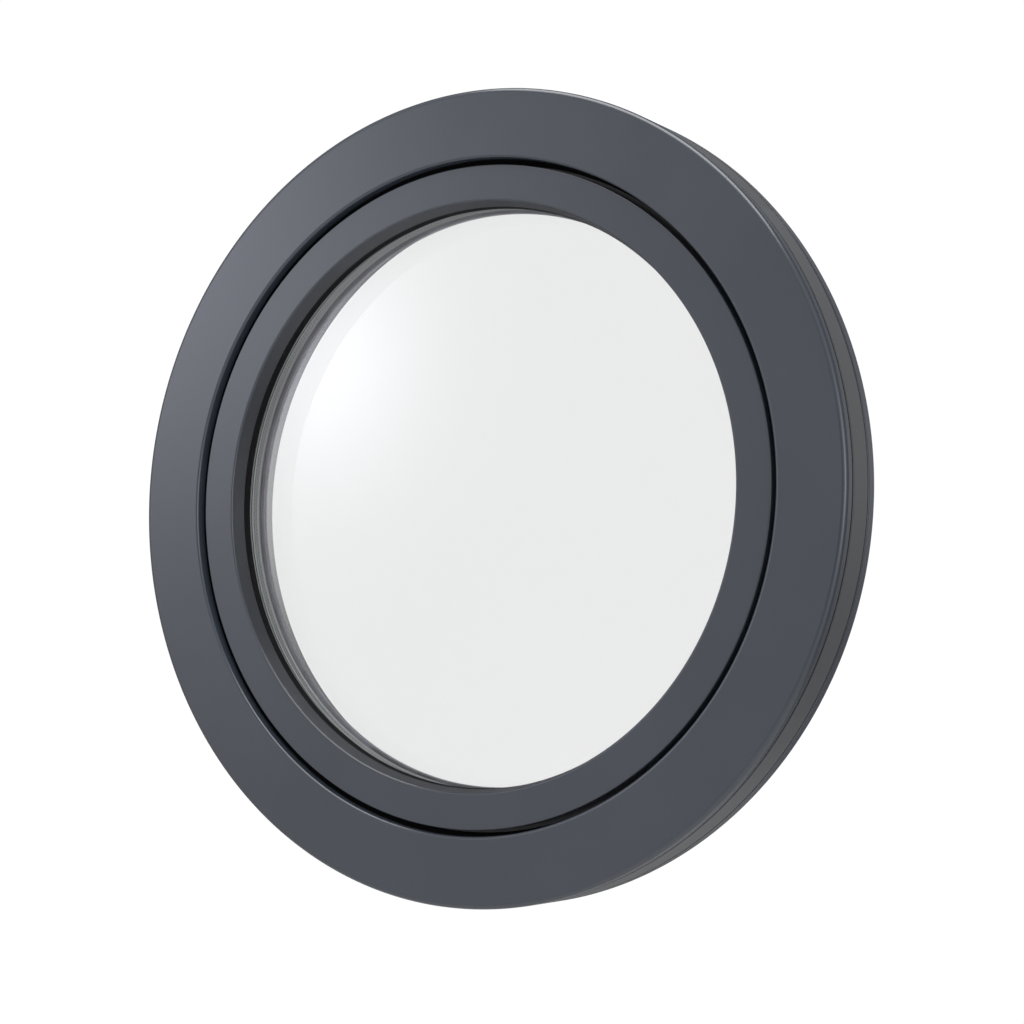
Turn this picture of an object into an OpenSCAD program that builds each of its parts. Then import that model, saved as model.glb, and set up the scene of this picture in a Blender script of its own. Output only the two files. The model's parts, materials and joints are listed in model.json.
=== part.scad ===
// Round window: a thermally broken ring frame with a side-hung sash that opens inwards.
// Millimetres. X is to the right seen from outdoors, Z is up and Y runs from outdoors to
// indoors. The origin is on the window's axis, in the plane of the frame's indoor face.

/* [Frame ring] */
// Outer diameter of the frame
outer_d = 800; // [640:10:1000]
// Depth of the frame, outdoor face to indoor face
frame_depth = 65; // [60:1:80]
// Width of the frame's flat outdoor face, measured along the radius
frame_face_w = 68; // [64:0.5:100]
// Depth of the outdoor metal shell
front_shell_t = 12.7; // [10:0.1:16]
// Depth of the indoor metal shell
rear_shell_t = 14; // [11:0.5:18]
// Width of the black joint between the outdoor shell and the core
seam_w = 3; // [1.5:0.1:4]
// How far the black joint lies below the ring's outer surface
seam_recess = 0.8; // [0.6:0.1:4]
// How far the outdoor shell reaches in past the rebate wall
rebate_lip = 11; // [8:0.5:20]
// Radius of the frame's outer outdoor edge
front_edge_r = 5; // [1:0.5:6]

/* [Sash ring] */
// Shadow gap between the frame's face and the sash's face
shadow_gap = 8; // [4:0.5:12]
// How far the sash's face lies behind the frame's face
sash_recess = 5; // [2:0.5:9]
// Width of the sash's outdoor face, measured along the radius
sash_face_w = 34; // [30:1:60]
// Thickness of the sash's flange, which stands in the room
flange_t = 18; // [16:0.5:30]
// Depth of the sash's outdoor metal shell
sash_shell_t = 16.5; // [15:0.5:22]
// How far the sash's aperture narrows from its face to its gasket
reveal_taper = 4; // [1:0.5:8]
// Depth of the sash's insulating core
sash_core_t = 24; // [20:1:26]
// Free play between the sash's body and the rebate wall
rebate_play = 7; // [5:0.5:10]
// How far the sash's flange covers the frame's indoor face
overlap = 9; // [8:0.5:12]

/* [Metal profiles] */
// Wall of the hollow metal profiles
wall_t = 2.5; // [1.8:0.1:3]
// Radius of the small rounded edges
edge_r = 2; // [0.5:0.25:2.5]
// Radius of the edges beside the joint lines
line_edge_r = 0.7; // [0.3:0.1:1]

/* [Glazing] */
// Thickness of each pane
pane_t = 4; // [3:1:6]
// Space between the panes
cavity_t = 16; // [10:1:16]
// How far the panes reach behind the sash's aperture
glass_cover = 14; // [12:1:18]
// Depth of the outdoor glazing gasket
front_gasket_t = 9; // [4:0.5:10]
// Depth of the indoor glazing gasket
rear_gasket_t = 5; // [3:0.5:6]
// Height of the spacer bar, measured along the radius
spacer_h = 7; // [5:0.5:8]
// How far the spacer bar lies below the sash's aperture
spacer_drop = 2; // [1:0.5:4]
// How far the glazing bead opens out towards indoors
bead_flare = 11; // [2:0.5:13]
// Thickness of the setting blocks round the panes
block_t = 4; // [3:0.5:6]
// Number of setting blocks
block_count = 6; // [4:1:10]
// Arc that each setting block covers, in degrees
block_arc = 8; // [4:1:12]

/* [Seals] */
// Air left between a seal and the face it closes on
seal_air = 0.3; // [0.2:0.1:0.6]
// Width of the seal under the sash's flange
flange_seal_w = 5.5; // [4:0.5:6]
// Gap that the flange seal bridges
flange_gap = 3; // [2:0.5:5]

/* [Hinges] */
// Distance between the middles of the two hinges
hinge_spacing = 190; // [180:5:240]
// Diameter of the hinge pin
hinge_pin_d = 8; // [6:0.5:9]
// Diameter of the hinge's barrel
barrel_d = 16; // [14:0.5:18]
// Length of the barrel's middle knuckle, which the sash hangs on
middle_knuckle = 24; // [20:1:30]
// Length of each outer knuckle
outer_knuckle = 11.8; // [8:0.2:14]
// Play along the pin on each side of the middle knuckle
knuckle_play = 0.3; // [0.2:0.1:0.6]
// Running clearance round the hinge pin
pin_play = 0.05; // [0.02:0.01:0.1]
// Distance of the hinge axis from the sash's flange
axis_offset = 10; // [9:0.5:14]
// Height of the hinge axis over the sash's indoor face
axis_rise = 4; // [3:0.5:6]
// Thickness of the hinge leaves
leaf_t = 4; // [3:0.5:6]

/* [Handle and latch] */
// Length of the handle's grip from its axis to its end
grip_len = 122; // [90:1:130]
// Width of the grip at its end
grip_w = 18; // [14:1:22]
// Thickness of the grip
grip_t = 11; // [8:1:14]
// Diameter of the handle's neck
neck_d = 20; // [16:1:22]
// Height of the handle's base over the sash
base_t = 10; // [8:1:14]
// Width of the handle's base
base_w = 30; // [28:1:34]
// Height of the handle's base, up and down
base_h = 74; // [64:2:90]
// Air between the tongue and what it passes
latch_air = 0.3; // [0.2:0.1:0.6]
// Thickness of the latch tongue
tongue_t = 5; // [3:0.5:7]
// Reach of the latch tongue from the handle's axis
tongue_reach = 42; // [40:1:48]
// Width of the latch tongue
tongue_w = 12; // [8:1:16]
// Width of the keeper's hook
keeper_w = 24; // [16:1:30]
// Thickness of the keeper's hook
keeper_t = 4.5; // [3:0.5:6]

/* [Screws and wall fixing] */
// Shank diameter of the hardware's screws
screw_d = 4.5; // [3.5:0.1:5.5]
// Head diameter of the hardware's screws
screw_head_d = 8.6; // [7:0.2:10]
// Number of threaded inserts in the frame's indoor face
insert_count = 8; // [4:4:16]
// Diameter of each insert's threaded hole
insert_hole_d = 6; // [5:1:8]
// Outer diameter of each insert's sleeve
insert_sleeve_d = 9; // [8:0.5:12]
// Distance of the inserts from the frame's outer edge
insert_inset = 14; // [10:1:20]

/* [Hidden] */
$fn = 144;

// Finishes
anthracite = "#4b5058";
core_grey = "#5c5e61";
seal_black = "#17181a";
glass_tint = "#dfe8e6";
spacer_grey = "#9aa09d";
steel = "#b9bdc1";
block_blue = "#5b7f9c";

// Places along Y, counted from the frame's indoor face
frame_front = -frame_depth;
seam_front = frame_front + front_shell_t;
core_front = seam_front + seam_w;
core_rear = -rear_shell_t;
sash_front = frame_front + sash_recess;
sash_rear = flange_gap + flange_t;
sash_shell_rear = sash_front + sash_shell_t;
sash_core_rear = sash_shell_rear + sash_core_t;
pane_front = sash_shell_rear + front_gasket_t;
cavity_front = pane_front + pane_t;
cavity_rear = cavity_front + cavity_t;
pane_rear = cavity_rear + pane_t;
bead_front = pane_rear + rear_gasket_t;

// Radii
outer_r = outer_d / 2;
frame_aperture_r = outer_r - frame_face_w;
rebate_r = frame_aperture_r + rebate_lip;
sash_r = frame_aperture_r - shadow_gap;
sash_face_inner_r = sash_r - sash_face_w;
sight_r = sash_face_inner_r - reveal_taper;
pane_r = sight_r + glass_cover;
pocket_r = pane_r + block_t;
sash_body_r = rebate_r - rebate_play;
flange_r = rebate_r + overlap;
spacer_r = sight_r + spacer_drop;

// The seal between the weather side and the hardware chamber
seal_setback = 4;
seal_foot_t = 4;
seal_foot_h = 4;
seal_body_t = 7;
seal_lip_t = 2;
seal_lip_inset = 4;
seal_lip_margin = 1;
seal_heel = 4;
shoulder_drop = 6;
seal_front = core_front + seal_setback;
seal_lip_r = sash_r + seal_lip_inset;
seal_lip_outer_r = sash_body_r - seal_lip_margin;
shoulder_y = sash_shell_rear + shoulder_drop;

// The other gaskets and seals, and the setting blocks
gasket_rim_gap = 2;
front_gasket_bulge = 0.4;
rear_gasket_bulge = 0.3;
flange_seal_margin = 1;
block_inset = 1;

// Screws and inserts
screw_r = screw_d / 2;
head_r = screw_head_d / 2;
head_t = 2.2;
screw_bite = 6;
screw_len = leaf_t + wall_t + screw_bite;
insert_ring_r = outer_r - insert_inset;
insert_len = 11;
insert_step = 360 / insert_count;

// Hinges
hinge_half = hinge_spacing / 2;
axis_x = -(flange_r + axis_offset);
axis_y = sash_rear + axis_rise;
pin_r = hinge_pin_d / 2;
barrel_r = barrel_d / 2;
pin_head_lip = 2;
pin_head_t = 2;
barrel_half = middle_knuckle / 2 + knuckle_play + outer_knuckle;
leaf_screw_gap = 4.5;
leaf_screw_edge = 5.5;
leaf_screw_z = barrel_half + leaf_screw_gap;
frame_leaf_half = leaf_screw_z + leaf_screw_edge;
leaf_margin = 2;
arm_rise = 0.5;
arm_cover = 2;
frame_leaf_near_z = hinge_half - frame_leaf_half;
frame_leaf_far_z = hinge_half + frame_leaf_half;
frame_leaf_out_x = -sqrt(pow(outer_r - leaf_margin, 2) - pow(frame_leaf_far_z, 2));
frame_leaf_in_x = -sqrt(pow(flange_r, 2) - pow(frame_leaf_near_z, 2)) - 2 * leaf_margin;
sash_leaf_far_z = hinge_half + barrel_half;
sash_leaf_near_z = hinge_half - barrel_half;
sash_leaf_out_x = -sqrt(pow(flange_r - leaf_margin, 2) - pow(sash_leaf_far_z, 2));
sash_leaf_in_x = -sqrt(pow(pocket_r + leaf_margin, 2) - pow(sash_leaf_near_z, 2));
sash_leaf_screw_x = (sash_leaf_out_x + sash_leaf_in_x) / 2;
sash_leaf_screw_edge = 7;
sash_leaf_screw_z = barrel_half - sash_leaf_screw_edge;

// Handle and latch
handle_x = (pocket_r + flange_r) / 2;
neck_r = neck_d / 2;
base_rear = sash_rear + base_t;
base_head_y = base_rear - head_t - latch_air;
tongue_front = base_rear + latch_air;
tongue_rear = tongue_front + tongue_t;
hub_wall = 5;
grip_gap = 6;
tongue_hub_r = neck_r + hub_wall;
grip_front = tongue_rear + grip_gap;
grip_rear = grip_front + grip_t;
base_screw_edge = 9;
base_screw_z = base_h / 2 - base_screw_edge;
spindle_r = 4;
spindle_play = 0.3;
spindle_drop = 12;
spindle_bite = 4;
spindle_front = sash_rear - spindle_drop;
spindle_rear = base_rear + spindle_bite;
collar_r = 8;
collar_t = 3;
keeper_post_gap = 4;
keeper_post_t = 7;
keeper_hook_cover = 10;
keeper_ear = 12;
keeper_flange_gap = 6;
keeper_screw_edge = 6;
keeper_post_x = handle_x + tongue_reach + keeper_post_gap;
keeper_hook_x = handle_x + tongue_reach - keeper_hook_cover;
keeper_hook_front = tongue_rear + latch_air;
keeper_hook_rear = keeper_hook_front + keeper_t;
keeper_plate_half = keeper_w / 2 + keeper_ear;
keeper_plate_in_x = flange_r + keeper_flange_gap;
keeper_plate_out_x = sqrt(pow(outer_r - leaf_margin, 2) - pow(keeper_plate_half, 2));
keeper_screw_x = (keeper_plate_in_x + keeper_plate_out_x) / 2;
keeper_screw_z = keeper_plate_half - keeper_screw_edge;

// How far a cutting shape runs past the face that it cuts
cut = 1;

// Sides of the small round ends
end_sides = 48;

// A vector of length one along v.
function unit(v) = v / norm(v);

// The vector v turned by an angle.
function turned(v, angle) = [
    v.x * cos(angle) - v.y * sin(angle),
    v.x * sin(angle) + v.y * cos(angle)
];

// The arc that rounds corner b, between its neighbours a and c.
function corner(a, b, c, radius, steps) = radius <= 0 ? [b] :
    let (
        to_a = unit(a - b),
        to_c = unit(c - b),
        half = acos(to_a * to_c) / 2,
        centre = b + unit(to_a + to_c) * radius / sin(half),
        start = b + to_a * radius / tan(half) - centre,
        end = b + to_c * radius / tan(half) - centre,
        sweep = (180 - 2 * half) * sign(cross(start, end))
    )
    [for (i = [0:steps]) centre + turned(start, sweep * i / steps)];

// An outline from points [radius, y, edge radius], with each edge rounded.
function rounded(points, steps = 4) =
    let (n = len(points))
    [for (i = [0:n - 1])
        let (a = points[(i + n - 1) % n], b = points[i], c = points[(i + 1) % n])
        each corner([a[0], a[1]], [b[0], b[1]], [c[0], c[1]], b[2], steps)];

// A box's four corners in a section, with one edge radius.
function box_section(r0, r1, y0, y1, edge = 0) =
    rounded([[r0, y0, edge], [r1, y0, edge], [r1, y1, edge], [r0, y1, edge]]);

// Turns a section round the window's axis.
module ring(section) rotate([-90, 0, 0]) rotate_extrude() polygon(section);

// Turns a hollow section round the window's axis.
module hollow_ring(section, chamber) {
    rotate([-90, 0, 0]) rotate_extrude() difference() {
        polygon(section);
        polygon(chamber);
    }
}

// A round rod along Y.
module rod_y(x, z, radius, y0, y1) {
    translate([x, y0, z]) rotate([-90, 0, 0]) cylinder(r = radius, h = y1 - y0);
}

// A block between two corners.
module block(low, high) translate(low) cube(high - low);

// A plate along Y with a round-ended outline between two points [x, z].
module round_bar(p0, r0, p1, r1, y0, y1) {
    translate([0, y1, 0]) rotate([90, 0, 0]) linear_extrude(y1 - y0) hull() {
        translate(p0) circle(r0, $fn = end_sides);
        translate(p1) circle(r1, $fn = end_sides);
    }
}

// A screw along Y with a round flat head; its head sits on the plane y.
module screw(x, z, y) {
    rod_y(x, z, head_r, y, y + head_t);
    rod_y(x, z, screw_r, y - screw_len, y);
}

// Places of the threaded inserts round the frame.
module at_inserts() {
    for (i = [0:insert_count - 1]) {
        angle = insert_step * (i + 0.5);
        translate([insert_ring_r * cos(angle), 0, insert_ring_r * sin(angle)]) children();
    }
}

// Screw holes of one frame leaf, as rods through y0 to y1.
module frame_leaf_holes(side, radius, y0, y1) {
    for (end = [-1, 1])
        rod_y(axis_x, side * hinge_half + end * leaf_screw_z, radius, y0, y1);
}

// Screw holes of one sash leaf, as rods through y0 to y1.
module sash_leaf_holes(side, radius, y0, y1) {
    for (end = [-1, 1])
        rod_y(sash_leaf_screw_x, side * hinge_half + end * sash_leaf_screw_z, radius, y0, y1);
}

// ---- Frame ----

// Outdoor shell: the wide flat face with its rounded outer edge.
module frame_outdoor_shell() color(anthracite) {
    face_inner_r = frame_aperture_r;
    hollow_ring(
        rounded([
            [face_inner_r, frame_front, edge_r],
            [outer_r, frame_front, front_edge_r],
            [outer_r, seam_front, line_edge_r],
            [face_inner_r, seam_front, edge_r],
        ]),
        box_section(face_inner_r + wall_t, outer_r - wall_t,
            frame_front + wall_t, seam_front - wall_t, edge_r)
    );
}

// Black gasket in the joint between the outdoor shell and the core.
module frame_joint_gasket() color(seal_black)
    ring(box_section(rebate_r + edge_r, outer_r - seam_recess, seam_front, core_front));

// Insulating core between the two metal shells, grooved for the centre seal.
module frame_core() color(core_grey)
    ring(concat(
        rounded([
            [outer_r, core_front, line_edge_r],
            [outer_r, core_rear, line_edge_r],
            [rebate_r, core_rear, 0],
            [rebate_r, seal_front + seal_foot_t, 0],
        ]),
        [
            [rebate_r + seal_foot_h, seal_front + seal_foot_t],
            [rebate_r + seal_foot_h, seal_front],
            [rebate_r, seal_front],
            [rebate_r, core_front],
        ]
    ));

// Indoor shell, bored for the inserts and for the hardware's screws.
module frame_indoor_shell() color(anthracite) difference() {
    hollow_ring(
        rounded([
            [rebate_r, core_rear, 0],
            [outer_r, core_rear, line_edge_r],
            [outer_r, 0, edge_r],
            [rebate_r, 0, edge_r],
        ]),
        box_section(rebate_r + wall_t, outer_r - wall_t, core_rear + wall_t, -wall_t, line_edge_r)
    );
    at_inserts() rod_y(0, 0, insert_sleeve_d / 2, -wall_t - cut, cut);
    for (side = [-1, 1]) frame_leaf_holes(side, screw_r, -wall_t - cut, cut);
    for (end = [-1, 1])
        rod_y(keeper_screw_x, end * keeper_screw_z, screw_r, -wall_t - cut, cut);
}

// Seal whose foot sits in the core and whose lip closes on the sash's shoulder.
module centre_seal() color(seal_black) {
    lip_end = shoulder_y - seal_air;
    ring([
        [rebate_r + seal_foot_h, seal_front],
        [rebate_r + seal_foot_h, seal_front + seal_foot_t],
        [rebate_r, seal_front + seal_foot_t],
        [rebate_r, seal_front + seal_body_t],
        [seal_lip_outer_r + seal_lip_t, lip_end - seal_lip_t],
        [seal_lip_outer_r, lip_end],
        [seal_lip_r, lip_end],
        [seal_lip_r, lip_end - seal_lip_t],
        [rebate_r - seal_heel, seal_front],
    ]);
}

// Threaded steel sleeves that take the wall brackets' bolts.
module fixing_inserts() color(steel) at_inserts() difference() {
    rod_y(0, 0, insert_sleeve_d / 2, -insert_len, 0);
    rod_y(0, 0, insert_hole_d / 2, -insert_len - cut, cut);
}

// Hinge leaf on the frame: a plate and two outer knuckles. Side is 1 above, -1 below.
module frame_leaf(side) difference() {
    union() {
        block([frame_leaf_out_x, 0, side * hinge_half - frame_leaf_half],
            [frame_leaf_in_x, leaf_t, side * hinge_half + frame_leaf_half]);
        for (end = [-1, 1]) {
            low = end > 0 ? middle_knuckle / 2 + knuckle_play : -barrel_half;
            translate([axis_x, axis_y, side * hinge_half + low])
                cylinder(r = barrel_r, h = outer_knuckle);
            translate([axis_x - barrel_r, leaf_t - cut, side * hinge_half + low])
                cube([barrel_d, axis_y - leaf_t + cut, outer_knuckle]);
        }
    }
    translate([axis_x, axis_y, side * hinge_half - barrel_half - cut])
        cylinder(r = pin_r, h = 2 * (barrel_half + cut));
    frame_leaf_holes(side, screw_r, -cut, leaf_t + cut);
}

module upper_frame_leaf() color(anthracite) frame_leaf(1);

module lower_frame_leaf() color(anthracite) frame_leaf(-1);

// Hinge pin with a flat head on top of the upper knuckle.
module hinge_pin(side) {
    translate([axis_x, axis_y, side * hinge_half - barrel_half])
        cylinder(r = pin_r, h = 2 * barrel_half);
    translate([axis_x, axis_y, side * hinge_half + barrel_half])
        cylinder(r = pin_r + pin_head_lip, h = pin_head_t);
}

module upper_hinge_pin() color(steel) hinge_pin(1);

module lower_hinge_pin() color(steel) hinge_pin(-1);

module frame_leaf_screws() color(steel)
    for (side = [-1, 1], end = [-1, 1])
        screw(axis_x, side * hinge_half + end * leaf_screw_z, leaf_t);

// Keeper: a plate on the frame with a hook that the tongue turns under.
module latch_keeper() color(anthracite) difference() {
    union() {
        block([keeper_plate_in_x, 0, -keeper_plate_half],
            [keeper_plate_out_x, leaf_t, keeper_plate_half]);
        block([keeper_post_x, leaf_t - cut, -keeper_w / 2],
            [keeper_post_x + keeper_post_t, keeper_hook_rear, keeper_w / 2]);
        block([keeper_hook_x, keeper_hook_front, -keeper_w / 2],
            [keeper_post_x + cut, keeper_hook_rear, keeper_w / 2]);
    }
    for (end = [-1, 1])
        rod_y(keeper_screw_x, end * keeper_screw_z, screw_r, -cut, leaf_t + cut);
}

module keeper_screws() color(steel)
    for (end = [-1, 1]) screw(keeper_screw_x, end * keeper_screw_z, leaf_t);

// ---- Sash ----

// Outdoor shell of the sash: its face and the reveal that narrows to the glass.
module sash_outdoor_shell() color(anthracite)
    hollow_ring(
        rounded([
            [sash_face_inner_r, sash_front, edge_r],
            [sash_r, sash_front, edge_r],
            [sash_r, sash_shell_rear, 0],
            [sight_r, sash_shell_rear, 0],
        ]),
        [
            [sash_face_inner_r + wall_t, sash_front + wall_t],
            [sash_r - wall_t, sash_front + wall_t],
            [sash_r - wall_t, sash_shell_rear - wall_t],
            [sight_r + reveal_taper * wall_t / sash_shell_t + wall_t, sash_shell_rear - wall_t],
        ]
    );

// Insulating core of the sash; its shoulder meets the centre seal.
module sash_core() color(core_grey)
    ring([
        [pocket_r, sash_shell_rear],
        [sash_r, sash_shell_rear],
        [sash_r, shoulder_y],
        [sash_body_r, shoulder_y],
        [sash_body_r, sash_core_rear],
        [pocket_r, sash_core_rear],
    ]);

// Indoor shell of the sash with the flange that covers the frame's edge.
module sash_indoor_shell() color(anthracite) difference() {
    flange_front = flange_gap;
    hollow_ring(
        rounded([
            [pocket_r, sash_core_rear, 0],
            [sash_body_r, sash_core_rear, 0],
            [sash_body_r, flange_front, 0],
            [flange_r, flange_front, edge_r],
            [flange_r, sash_rear, edge_r],
            [pocket_r, sash_rear, 0],
        ]),
        [
            [pocket_r + wall_t, sash_core_rear + wall_t],
            [sash_body_r - wall_t, sash_core_rear + wall_t],
            [sash_body_r - wall_t, flange_front + wall_t],
            [flange_r - wall_t, flange_front + wall_t],
            [flange_r - wall_t, sash_rear - wall_t],
            [pocket_r + wall_t, sash_rear - wall_t],
        ]
    );
    rod_y(handle_x, 0, spindle_r + spindle_play, sash_rear - wall_t - cut, sash_rear + cut);
    for (end = [-1, 1])
        rod_y(handle_x, end * base_screw_z, screw_r, sash_rear - wall_t - cut, sash_rear + cut);
    for (side = [-1, 1])
        sash_leaf_holes(side, screw_r, sash_rear - wall_t - cut, sash_rear + cut);
}

// Glazing bead: it holds the panes from indoors and opens out to the room.
module glazing_bead() color(anthracite)
    ring(rounded([
        [sight_r, bead_front, 0],
        [pocket_r, bead_front, 0],
        [pocket_r, sash_rear, line_edge_r],
        [sight_r + bead_flare, sash_rear, edge_r],
    ]));

module outdoor_glass_gasket() color(seal_black) {
    hollow = front_gasket_t / 4;
    ring([
        [sight_r, sash_shell_rear],
        [pane_r - gasket_rim_gap, sash_shell_rear],
        [pane_r - gasket_rim_gap, pane_front],
        [sight_r - front_gasket_bulge, pane_front],
        [sight_r - front_gasket_bulge, pane_front - hollow],
        [sight_r + front_gasket_bulge, sash_shell_rear + hollow],
    ]);
}

module indoor_glass_gasket() color(seal_black)
    ring(box_section(sight_r - rear_gasket_bulge, pane_r - gasket_rim_gap,
        pane_rear, bead_front));

// Seal under the flange, on the frame's indoor face.
module flange_seal() color(seal_black) {
    middle = rebate_r + edge_r + flange_seal_margin + flange_seal_w / 2;
    ring(box_section(middle - flange_seal_w / 2, middle + flange_seal_w / 2,
        seal_air, flange_gap, 0));
}

module outdoor_pane() color(glass_tint, 0.4) rod_y(0, 0, pane_r, pane_front, cavity_front);

module indoor_pane() color(glass_tint, 0.4) rod_y(0, 0, pane_r, cavity_rear, pane_rear);

// Metal bar that holds the panes apart.
module spacer_bar() color(spacer_grey)
    ring(box_section(spacer_r, spacer_r + spacer_h, cavity_front, cavity_rear, 0));

// Sealant between the spacer bar and the panes' rim.
module edge_seal() color(seal_black)
    ring(box_section(spacer_r + spacer_h, pane_r, cavity_front, cavity_rear));

// Blocks that centre the panes in the sash.
module setting_blocks() color(block_blue)
    for (i = [0:block_count - 1])
        rotate([0, 360 / block_count * (i + 0.5), 0])
            rotate([-90, 0, 0])
                rotate_extrude(angle = block_arc, start = -block_arc / 2)
                    translate([pane_r, pane_front + block_inset])
                        square([block_t, 2 * (pane_t - block_inset) + cavity_t]);

// Hinge leaf on the sash: a plate and the middle knuckle.
module sash_leaf(side) {
    knuckle_low = side * hinge_half - middle_knuckle / 2;
    difference() {
        union() {
            block([sash_leaf_out_x, sash_rear, side * hinge_half - barrel_half],
                [sash_leaf_in_x, sash_rear + leaf_t, side * hinge_half + barrel_half]);
            block([axis_x, sash_rear + arm_rise, knuckle_low],
                [sash_leaf_out_x + cut, axis_y + arm_cover, knuckle_low + middle_knuckle]);
            translate([axis_x, axis_y, knuckle_low])
                cylinder(r = barrel_r, h = middle_knuckle);
        }
        translate([axis_x, axis_y, knuckle_low - cut])
            cylinder(r = pin_r + pin_play, h = middle_knuckle + 2 * cut);
        sash_leaf_holes(side, screw_r, sash_rear - cut, sash_rear + leaf_t + cut);
    }
}

module upper_sash_leaf() color(anthracite) sash_leaf(1);

module lower_sash_leaf() color(anthracite) sash_leaf(-1);

module sash_leaf_screws() color(steel)
    for (side = [-1, 1], end = [-1, 1])
        screw(sash_leaf_screw_x, side * hinge_half + end * sash_leaf_screw_z,
            sash_rear + leaf_t);

// ---- Handle and latch ----

// Base plate that the handle's neck turns in.
module handle_base() color(anthracite) difference() {
    end_z = base_h / 2 - base_w / 2;
    round_bar([handle_x, -end_z], base_w / 2, [handle_x, end_z], base_w / 2,
        sash_rear, base_rear);
    rod_y(handle_x, 0, neck_r + pin_play, sash_rear - cut, base_rear + cut);
    for (end = [-1, 1]) {
        rod_y(handle_x, end * base_screw_z, screw_r, sash_rear - cut, base_rear + cut);
        rod_y(handle_x, end * base_screw_z, head_r, base_head_y, base_rear + cut);
    }
}

// Screws whose heads are sunk into the handle's base.
module handle_base_screws() color(steel)
    for (end = [-1, 1]) screw(handle_x, end * base_screw_z, base_head_y);

// Lever: a round neck and a grip that hangs down, with a blind hole for the spindle.
module handle_lever() color(anthracite) difference() {
    union() {
        rod_y(handle_x, 0, neck_r, sash_rear + latch_air, grip_rear);
        round_bar([handle_x, 0], neck_r, [handle_x, grip_w / 2 - grip_len], grip_w / 2,
            grip_front, grip_rear);
    }
    rod_y(handle_x, 0, spindle_r, sash_rear + latch_air - cut, spindle_rear);
}

// Tongue on the handle's neck: it points up when the latch is free.
module latch_tongue() color(steel) difference() {
    union() {
        rod_y(handle_x, 0, tongue_hub_r, tongue_front, tongue_rear);
        round_bar([handle_x, 0], tongue_w / 2, [handle_x, tongue_reach - tongue_w / 2],
            tongue_w / 2, tongue_front, tongue_rear);
    }
    rod_y(handle_x, 0, neck_r, tongue_front - cut, tongue_rear + cut);
}

// Spindle from the neck into the sash's chamber.
module handle_spindle() color(steel)
    rod_y(handle_x, 0, spindle_r, spindle_front, spindle_rear);

// Collar that keeps the spindle from being pulled out.
module spindle_collar() color(steel) difference() {
    collar_rear = sash_rear - wall_t - spindle_play;
    rod_y(handle_x, 0, collar_r, collar_rear - collar_t, collar_rear);
    rod_y(handle_x, 0, spindle_r, collar_rear - collar_t - cut, collar_rear + cut);
}

frame_outdoor_shell();
frame_joint_gasket();
frame_core();
frame_indoor_shell();
centre_seal();
fixing_inserts();
upper_frame_leaf();
lower_frame_leaf();
upper_hinge_pin();
lower_hinge_pin();
frame_leaf_screws();
latch_keeper();
keeper_screws();
sash_outdoor_shell();
sash_core();
sash_indoor_shell();
glazing_bead();
outdoor_glass_gasket();
indoor_glass_gasket();
flange_seal();
outdoor_pane();
indoor_pane();
spacer_bar();
edge_seal();
setting_blocks();
upper_sash_leaf();
lower_sash_leaf();
sash_leaf_screws();
handle_base();
handle_base_screws();
handle_lever();
latch_tongue();
handle_spindle();
spindle_collar();
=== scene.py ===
"""Round window: a thermally broken ring frame with a side-hung glazed sash.

Lengths are metres, Z is up and Y runs from outdoors to indoors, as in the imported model.
"""
import json
import math

import bpy
import numpy as np
from mathutils import Matrix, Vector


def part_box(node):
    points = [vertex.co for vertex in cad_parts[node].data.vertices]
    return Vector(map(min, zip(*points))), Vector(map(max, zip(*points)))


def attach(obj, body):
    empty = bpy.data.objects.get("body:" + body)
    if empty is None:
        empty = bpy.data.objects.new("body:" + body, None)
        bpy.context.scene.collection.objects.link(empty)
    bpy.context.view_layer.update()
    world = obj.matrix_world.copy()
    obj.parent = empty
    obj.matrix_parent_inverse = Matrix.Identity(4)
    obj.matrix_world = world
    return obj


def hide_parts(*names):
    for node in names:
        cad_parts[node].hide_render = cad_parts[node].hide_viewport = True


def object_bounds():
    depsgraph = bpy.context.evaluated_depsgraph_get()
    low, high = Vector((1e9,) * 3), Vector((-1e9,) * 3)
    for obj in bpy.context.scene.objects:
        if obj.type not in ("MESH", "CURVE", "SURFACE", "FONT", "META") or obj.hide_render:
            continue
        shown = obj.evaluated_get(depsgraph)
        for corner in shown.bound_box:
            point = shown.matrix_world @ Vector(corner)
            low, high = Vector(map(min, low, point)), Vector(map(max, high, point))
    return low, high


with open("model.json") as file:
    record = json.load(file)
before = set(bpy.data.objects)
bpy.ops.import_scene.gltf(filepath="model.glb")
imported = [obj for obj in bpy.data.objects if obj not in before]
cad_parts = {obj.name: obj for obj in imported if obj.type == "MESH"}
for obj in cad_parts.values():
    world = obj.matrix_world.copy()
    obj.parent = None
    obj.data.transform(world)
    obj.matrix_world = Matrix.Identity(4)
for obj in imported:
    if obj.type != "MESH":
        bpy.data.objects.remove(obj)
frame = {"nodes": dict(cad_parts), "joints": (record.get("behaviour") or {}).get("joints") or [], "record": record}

bl_info = {
    "name": "Round Window",
    "version": (1, 0, 0),
    "blender": (4, 5, 0),
    "location": "View3D > Sidebar > Round Window",
    "description": "Builds the rings, glazing, seals and hardware of a round window",
    "category": "Object",
}

MM = 0.001
CAD_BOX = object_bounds()

GAP_REACH = 1 * MM                                 # how far each ring reaches into the gap
BARREL_R, PIN_R, LEAF_T = 8 * MM, 4 * MM, 4 * MM   # hinges: knuckles, pin and leaves
KNUCKLE, PLAY, RIM = 12 * MM, 0.3 * MM, 0.6 * MM   # half the middle knuckle, its gap and edge
PLATE_CORNER = 3 * MM
HEAD_R, HEAD_H = 4.3 * MM, 2.2 * MM                # screw heads
METAL_IOR, PLASTIC_IOR = 1.8, 1.5


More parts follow.
